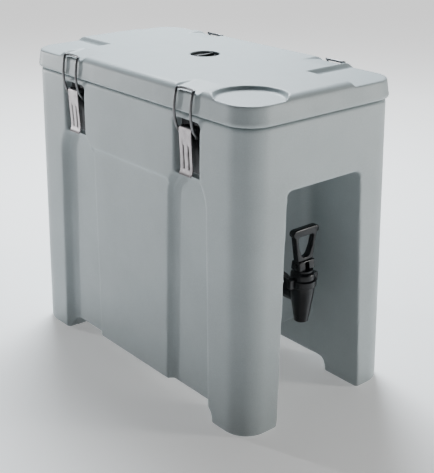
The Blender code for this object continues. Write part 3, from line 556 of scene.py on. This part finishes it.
def turned(name, outline, spot, axis="Z"):
    """A turned piece from (radius, height) pairs, whose heights run from spot along the axis."""
    bm = bmesh.new()
    ring = [bm.verts.new((radius, 0, height)) for radius, height in outline]
    lines = [bm.edges.new(pair) for pair in zip(ring, ring[1:] + ring[:1])]
    bmesh.ops.spin(bm, geom=ring + lines, cent=(0, 0, 0), axis=(0, 0, 1), angle=2 * pi, steps=TURN_STEPS,
                   use_merge=True)
    way = {"Z": Matrix(), "Y": Matrix.Rotation(-pi / 2, 4, "X")}[axis]
    bmesh.ops.transform(bm, matrix=Matrix.Translation(spot) @ way, verts=bm.verts)
    return piece_of(name, bm)


def placed(piece, body_name, node):
    """Lets a finished piece stand for a CAD node."""
    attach(piece, body_name)
    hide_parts(node)


cap_low, cap_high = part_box("vent_cap")
CAP_R = (cap_high.x - cap_low.x) / 2
CAP_STEM_R, CAP_AXIS_R = 0.0096, 0.0001
CAP_TOP = cap_high.z - 0.0028
CAP_UNDER = CAP_TOP - 0.0020
RIB_X, RIB_Y = 0.0135, 0.0021
outline = [(CAP_AXIS_R, cap_low.z), (CAP_STEM_R, cap_low.z), (CAP_STEM_R, CAP_UNDER)]
outline += [(CAP_R - 0.0004, CAP_UNDER), (CAP_R, CAP_TOP - 0.0015), (CAP_R, CAP_TOP - 0.0008)]
outline += [(CAP_R - 0.0008, CAP_TOP - 0.0002), (CAP_R - 0.0022, CAP_TOP), (CAP_AXIS_R, CAP_TOP)]
cap = turned("vent_cap_skin", outline, (VENT_X, VENT_Y, 0))
rib_low = (VENT_X - RIB_X, VENT_Y - RIB_Y, CAP_TOP - 0.001)
bm = block(rib_low, (VENT_X + RIB_X, VENT_Y + RIB_Y, cap_high.z))
round_edges(bm, 0.0012, 4, lambda a, b: same(a, b, 0, 1) or a.z + b.z > 2 * cap_high.z - 1e-5)
carved(cap, "UNION", [piece_of("rib", bm)])
finished(cap, black_plastic("black_plastic_cap", 0.32), 35)
placed(cap, "vent_cap", "vent_cap")


# The draw latches: four of them, each with a plate screwed into a pocket, a pressed steel lever on a pin, and
# a loop of wire that the lever pulls down over the lid's ledge. One lever and one loop are made, then copied
# to each corner. Their points are (out, z) pairs.

HOOK = (0.1078, 0.3280)
STRAP = ((0.1126, 0.3386), (0.1134, 0.3378), (0.1138, 0.3350), (0.1137, 0.3300), (0.1121, 0.2940),
         (0.1124, 0.2905), (0.1134, 0.2876), (0.1150, 0.2855))
FLANGE = ((0.1128, 0.3382), (0.1118, 0.3020), (0.1110, 0.3010), (0.1053, 0.3240), (0.1053, 0.3370),
          (0.1062, 0.3388), (0.1078, 0.3398), (0.1108, 0.3398))
WIRE = ((0.1098, 0.3308), (0.1128, 0.3355), (0.1151, 0.3430), (0.1164, 0.3510), (0.1166, 0.3580),
        (0.1160, 0.3650), (0.1149, 0.3720), (0.1138, 0.3759), (0.1121, 0.3785))
WIRE_R, WIRE_Y = 0.0015, 0.0138
LEVER_Y, SHEET = 0.0100, 0.0012
SLOT_Y, SLOT_HALF, SLOT_LOW, SLOT_TOP = 0.0042, 0.0009, 0.2925, 0.3185
SLOT_DEEP, SLOT_WALL = 0.0013, 0.0006


def slot_painted_shade(mix):
    """1 in the two slots pressed into a lever, and 0 elsewhere: the mask of the painted shade in the slots."""
    along, up = (mix.add("SeparateXYZ", {}, {0: mix.place}, output=axis) for axis in (1, 2))
    off_latch = along.math("ABSOLUTE", along.math("ABSOLUTE", along) - LATCH_Y)
    off_slot = along.math("ABSOLUTE", off_latch - SLOT_Y)
    across = along.math("LESS_THAN", off_slot, SLOT_HALF + 0.0002)
    return across * (up > SLOT_LOW) * up.math("LESS_THAN", up, SLOT_TOP)


def steel(name, colour, rough, brush, slots=False):
    """Stainless steel, brushed along the direction in which brush is small, with a few darker smudges; with
    slots, painted shade in the lever's two slots.
    """
    mix = Finish(name)
    streaks = mix.noise(1500, 2, 0.6, brush)
    smudge = mix.ramp(mix.noise(140, 3), 0.45, 0.70)
    dark = tuple(0.62 * c for c in colour)
    pale = tuple(min(1, 1.15 * c) for c in colour)
    shade = mix.blend(streaks, dark, pale)
    shade = mix.blend(smudge * 0.5, shade, dark)
    if slots:
        # Painted shade: the lever's two pressed slots are coloured nearly black, standing in for the shade
        # inside them.
        shade = mix.blend(slot_painted_shade(mix) * 0.85, shade, (0.03, 0.03, 0.03))
    mix.set(Base_Color=shade, Metallic=1.0, Roughness=rough + 0.18 * streaks + 0.10 * smudge)
    mix.set(Normal=mix.bump(streaks, 0.12, 0.0002))
    return mix.material


def smooth_line(points, steps):
    """Even points along a line through the given ones, with its corners eased."""
    curve = bpy.data.curves.new("line", "CURVE")
    curve.dimensions = "3D"
    curve.resolution_u = steps
    spline = curve.splines.new("BEZIER")
    spline.bezier_points.add(len(points) - 1)
    for spot, point in zip(spline.bezier_points, points):
        spot.co = point
        spot.handle_left_type = spot.handle_right_type = "AUTO"
    return curve


def meshed(curve):
    """A curve's mesh, in place of the curve."""
    guide = bpy.data.objects.new("guide", curve)
    scene.collection.objects.link(guide)
    graph = bpy.context.evaluated_depsgraph_get()
    mesh = bpy.data.meshes.new_from_object(guide.evaluated_get(graph))
    bpy.data.objects.remove(guide)
    return mesh


def lever_form():
    """A pressed strap with two sunk slots, and a flange down each of its sides."""
    line = [tuple(vert.co) for vert in meshed(smooth_line([(out, 0, z) for out, z in STRAP], 8)).vertices]
    bm = bmesh.new()
    row = [bm.verts.new((x, -LEVER_Y, z)) for x, y, z in line]
    rows = [bm.edges.new(pair) for pair in zip(row, row[1:])]
    across = 40
    for step in range(across):
        drawn = bmesh.ops.extrude_edge_only(bm, edges=rows)["geom"]
        rows = [item for item in drawn if isinstance(item, bmesh.types.BMEdge)
                and same(item.verts[0].co, item.verts[1].co, 1) and all(v.link_faces for v in item.verts)]
        ends = {vert for edge in rows for vert in edge.verts}
        bmesh.ops.translate(bm, verts=list(ends), vec=(0, 2 * LEVER_Y / across, 0))
    for vert in bm.verts:
        aside = abs(abs(vert.co.y) - SLOT_Y) - SLOT_HALF
        off_slot = max(aside, SLOT_LOW - vert.co.z, vert.co.z - SLOT_TOP, 0)
        vert.co.x -= SLOT_DEEP * max(0, 1 - off_slot / SLOT_WALL)
    strap = piece_of("lever_strap", bm)
    sheet = strap.modifiers.new("sheet", "SOLIDIFY")
    sheet.thickness = SHEET
    sheet.offset = 1 if strap.data.polygons[0].normal.x < 0 else -1
    baked(strap)
    flanges = []
    for hand in SIDES:
        bm = pushed(FLANGE, hand * (LEVER_Y - SHEET), hand * LEVER_Y, lambda out, z, y: (out, y, z))
        flanges.append(piece_of("flange", bm))
    return carved(strap, "UNION", flanges)


def bail_form():
    """One loop of round wire, hooked into the lever at both of its ends."""
    half = [(HOOK[0], 0.0091, HOOK[1]), (HOOK[0], 0.0122, HOOK[1])]
    half += [(out, WIRE_Y, z) for out, z in WIRE]
    half += [(0.1102, 0.0122, 0.3787), (0.1096, 0.0096, 0.3790)]
    curve = smooth_line(half + [(out, -y, z) for out, y, z in reversed(half)], 6)
    curve.bevel_depth = WIRE_R
    curve.bevel_resolution = 4
    curve.use_fill_caps = True
    loop = bpy.data.objects.new("bail", meshed(curve))
    scene.collection.objects.link(loop)
    return loop


def for_corner(form, name, side, end):
    """A copy of a latch piece in its corner. The form has out along +X and its middle at y = 0."""
    bm = bmesh.new()
    bm.from_mesh(form.data)
    bmesh.ops.transform(bm, matrix=Matrix.Diagonal((side, 1, 1, 1)), verts=bm.verts)
    bmesh.ops.translate(bm, verts=bm.verts, vec=(0, end * LATCH_Y, 0))
    return piece_of(name, bm)


lever_steel = steel("stainless_sheet", (0.44, 0.41, 0.42), 0.42, (1, 1, 0.3), slots=True)
wire_steel = steel("stainless_wire", (0.17, 0.17, 0.175), 0.25, (1, 1, 0.05))
plate_steel = steel("stainless_plate", (0.075, 0.075, 0.078), 0.45, (1, 0.1, 1))
lever, bail = lever_form(), bail_form()
for side, side_name in zip(SIDES, ("left", "right")):
    for end, end_name in zip(SIDES, ("front", "rear")):
        corner = f"{side_name}_{end_name}"
        piece = finished(for_corner(lever, f"lever_{corner}_skin", side, end), lever_steel, 30)
        placed(piece, f"lever_{corner}", f"latch_lever_{corner}")
        piece = finished(for_corner(bail, f"bail_{corner}_skin", side, end), wire_steel, 60)
        placed(piece, f"bail_{corner}", f"latch_bail_{corner}")
        finished(nodes[f"latch_plate_{corner}"], plate_steel)
        finished(nodes[f"latch_pin_{corner}"], wire_steel)
        for which in ("front", "rear"):
            finished(nodes[f"latch_screw_{corner}_{which}"], wire_steel)
for form in (lever, bail):
    bpy.data.objects.remove(form)


# The faucet: a black moulded body with a tapered spout, drawn to its shank by a round union nut. A bonnet with
# two wings closes its top, and a loop handle rocks on the bonnet to lift the stem.

FAUCET_Y = middle_of("valve_stem").y
SPOUT_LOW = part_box("faucet_body")[0].z
BORE_R, BARREL_R, BARREL_TOP, SEAT_Z = 0.0060, 0.0140, 0.1470, 0.1220
outline = [(BORE_R, SPOUT_LOW + 0.0006), (0.0066, SPOUT_LOW), (0.0078, SPOUT_LOW)]
outline += [(0.0085, SPOUT_LOW + 0.0008), (0.0088, SPOUT_LOW + 0.0040), (0.0138, 0.1385), (BARREL_R, 0.1400)]
outline += [(BARREL_R, BARREL_TOP), (0.0086, BARREL_TOP), (0.0086, SEAT_Z), (BORE_R, SEAT_Z)]
tap = turned("faucet_body_skin", outline, (0, FAUCET_Y, 0))
INLET_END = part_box("faucet_shank")[0].y - 0.0003
INLET_START = FAUCET_Y + 0.0070
outline = [(BORE_R, INLET_START), (0.0105, INLET_START), (0.0105, INLET_END - 0.0025)]
outline += [(0.0122, INLET_END - 0.0025), (0.0122, INLET_END), (BORE_R, INLET_END)]
carved(tap, "UNION", [turned("inlet", outline, (0, 0, SHANK_Z), "Y")])
finished(tap, black, 35)
placed(tap, "body", "faucet_body")

nut_low, nut_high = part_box("coupling_nut")
NUT_R, NUT_BORE_R, NUT_NECK_R = 0.0165, 0.0125, 0.0108
nut_lip = nut_low.y + 0.0020
outline = [(NUT_NECK_R, nut_low.y), (0.0140, nut_low.y), (0.0158, nut_low.y + 0.0012)]
outline += [(NUT_R, nut_low.y + 0.0030), (NUT_R, nut_high.y - 0.0024), (0.0156, nut_high.y)]
outline += [(NUT_BORE_R, nut_high.y), (NUT_BORE_R, nut_lip), (NUT_NECK_R, nut_lip)]
nut = turned("coupling_nut_skin", outline, (0, 0, SHANK_Z), "Y")
finished(nut, black, 35)
placed(nut, "body", "coupling_nut")

bonnet_low, bonnet_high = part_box("faucet_bonnet")
low, top, WING_X = bonnet_low.z, bonnet_high.z, bonnet_high.x
SKIRT_R, STEM_HOLE_R, NECK_R, WING_Y = 0.0160, 0.0033, 0.0115, 0.0030
skirt = low + 0.0087
outline = [(STEM_HOLE_R, low), (0.0152, low), (SKIRT_R, low + 0.0008), (SKIRT_R, skirt - 0.0010)]
outline += [(0.0152, skirt), (0.0141, skirt + 0.0006), (0.0140, 0.1622), (0.0134, 0.1640), (NECK_R, 0.1655)]
outline += [(NECK_R, top - 0.0004), (0.0111, top), (STEM_HOLE_R, top)]
bonnet = turned("faucet_bonnet_skin", outline, (0, FAUCET_Y, 0))
wings = []
for side in SIDES:
    ends = sorted((side * 0.0120, side * WING_X))
    bm = block((ends[0], FAUCET_Y - WING_Y, low + 0.0008), (ends[1], FAUCET_Y + WING_Y, skirt + 0.0025))
    round_edges(bm, 0.0016, 4, lambda a, b: min(abs(a.x), abs(b.x)) > 0.02)
    wings.append(piece_of("wing", bm))
carved(bonnet, "UNION", wings)
finished(bonnet, black, 35)
placed(bonnet, "body", "faucet_bonnet")

handle_low, handle_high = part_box("faucet_handle")
BAR_R, ARM_Y, SLOT_X, SLOT_Z = 0.0045, 0.0040, 0.0033, 0.1777
FOOT_X, FOOT_Y, FOOT_TOP = 0.0120, 0.0075, 0.1770
bar_x, bar_z = handle_high.x - BAR_R + 0.0001, handle_high.z - BAR_R
loop = [(0.0108, FOOT_TOP - 0.0020), (FOOT_X, 0.1805), (bar_x + 0.0012, bar_z - 0.0045)]
loop += [(bar_x + BAR_R * cos(radians(t)), bar_z + BAR_R * sin(radians(t))) for t in (-35, 0, 30, 60, 90)]
loop += [(-x, z) for x, z in reversed(loop)]
opening = [(0, 0.1828), (0.0032, 0.1834), (0.0058, 0.1855), (0.0100, 0.1950), (0.0120, 0.2050)]
opening += [(0.0114, 0.2078), (0.0100, 0.2088)]
opening += [(-x, z) for x, z in reversed(opening[1:])]


def front_view(x, z, y):
    """Places (x, z) of the handle's outlines, y behind the faucet's middle."""
    return x, FAUCET_Y + y, z


handle = piece_of("faucet_handle_skin", pushed(loop, -ARM_Y, ARM_Y, front_view))
carved(handle, "DIFFERENCE", [piece_of("opening", pushed(opening, -0.02, 0.02, front_view))])
soft = handle.modifiers.new("soft", "BEVEL")
soft.width = 0.0011
soft.segments = 3
soft.limit_method = "ANGLE"
soft.angle_limit = radians(40)
baked(handle)
bm = block((-FOOT_X, FAUCET_Y - FOOT_Y, handle_low.z), (FOOT_X, FAUCET_Y + FOOT_Y, FOOT_TOP + 0.0020))
for vert in bm.verts:
    if vert.co.z > FOOT_TOP:
        vert.co.y += 0.0014 * (1 if vert.co.y < FAUCET_Y else -1)
rounded(bm, bm.edges[:], 0.0009, 3)
carved(handle, "UNION", [piece_of("foot", bm)])
slot = piece_of("slot", block((-SLOT_X, FAUCET_Y - 0.02, 0.15), (SLOT_X, FAUCET_Y + 0.02, SLOT_Z)))
pin_hole = drill("pin_hole", (0, FAUCET_Y, middle_of("handle_pin").z), 0.0014, 0.06, 24, "X")
carved(handle, "DIFFERENCE", [slot, pin_hole])
finished(handle, black_plastic("black_plastic_handle", 0.20), 35)
placed(handle, "handle", "faucet_handle")
for node in ("valve_stem", "handle_pin"):
    finished(nodes[node], plate_steel)


# The studio: a pale floor that glows a little more the further it is from the unit, a small light low at the
# rear left, a soft one at the front right, a broad one overhead, and a camera that looks down on the unit's
# corner.

FLOOR_HALF, FLOOR_LOW, FLOOR_TOP = 6, -0.0204, -0.0004
bm = block((-FLOOR_HALF, -FLOOR_HALF, FLOOR_LOW), (FLOOR_HALF, FLOOR_HALF, FLOOR_TOP))
floor = piece_of("studio_floor", bm)
pale = Finish("studio_white")
away = pale.add("VectorMath", {"operation": "LENGTH"}, {0: pale.place}, output=1)
glow = pale.ramp(0.5 * away, 0.10, 0.70)
pale.set(Base_Color=(0.92, 0.92, 0.92, 1), Roughness=0.9)
pale.set(Emission_Color=pale.blend(glow, (0.24,) * 3, (1,) * 3), Emission_Strength=1.1)
finished(floor, pale.material)

MIDDLE = Vector((0, 0, 0.19))


def softbox(name, place, size, watts, colour):
    """A lamp behind a sheet of cloth, turned towards the middle of the unit."""
    light = bpy.data.lights.new(name, "AREA")
    light.shape = "RECTANGLE"
    light.size, light.size_y = size
    light.energy = watts
    light.color = colour
    lamp = bpy.data.objects.new(name, light)
    lamp.location = place
    lamp.rotation_euler = (MIDDLE - Vector(place)).to_track_quat("-Z", "Y").to_euler()
    scene.collection.objects.link(lamp)


softbox("left_softbox", (-0.95, 2.10, 0.40), (0.10, 0.10), 30, (0.97, 0.99, 1.0))
softbox("front_right_softbox", (1.30, -1.70, 0.40), (0.30, 0.45), 23, (1.0, 1.0, 0.96))
softbox("overhead_softbox", (0.40, 0.55, 1.25), (0.6, 0.7), 46, (0.88, 0.95, 1.0))

world = bpy.data.worlds.new("studio_air")
world.use_nodes = True
air = world.node_tree.nodes["Background"]
air.inputs["Color"].default_value = (1, 1, 1, 1)
air.inputs["Strength"].default_value = 0.02
scene.world = world

lens = bpy.data.cameras.new("camera")
lens.lens = 72.53
lens.sensor_width = 36
camera = bpy.data.objects.new("camera", lens)
camera.location = (-0.7104, -0.8712, 0.6116)
forward = Vector((0.02272, 0, 0.14464)) - camera.location
camera.rotation_euler = forward.to_track_quat("-Z", "Y").to_euler()
scene.collection.objects.link(camera)
scene.camera = camera

bpy.context.view_layer.update()
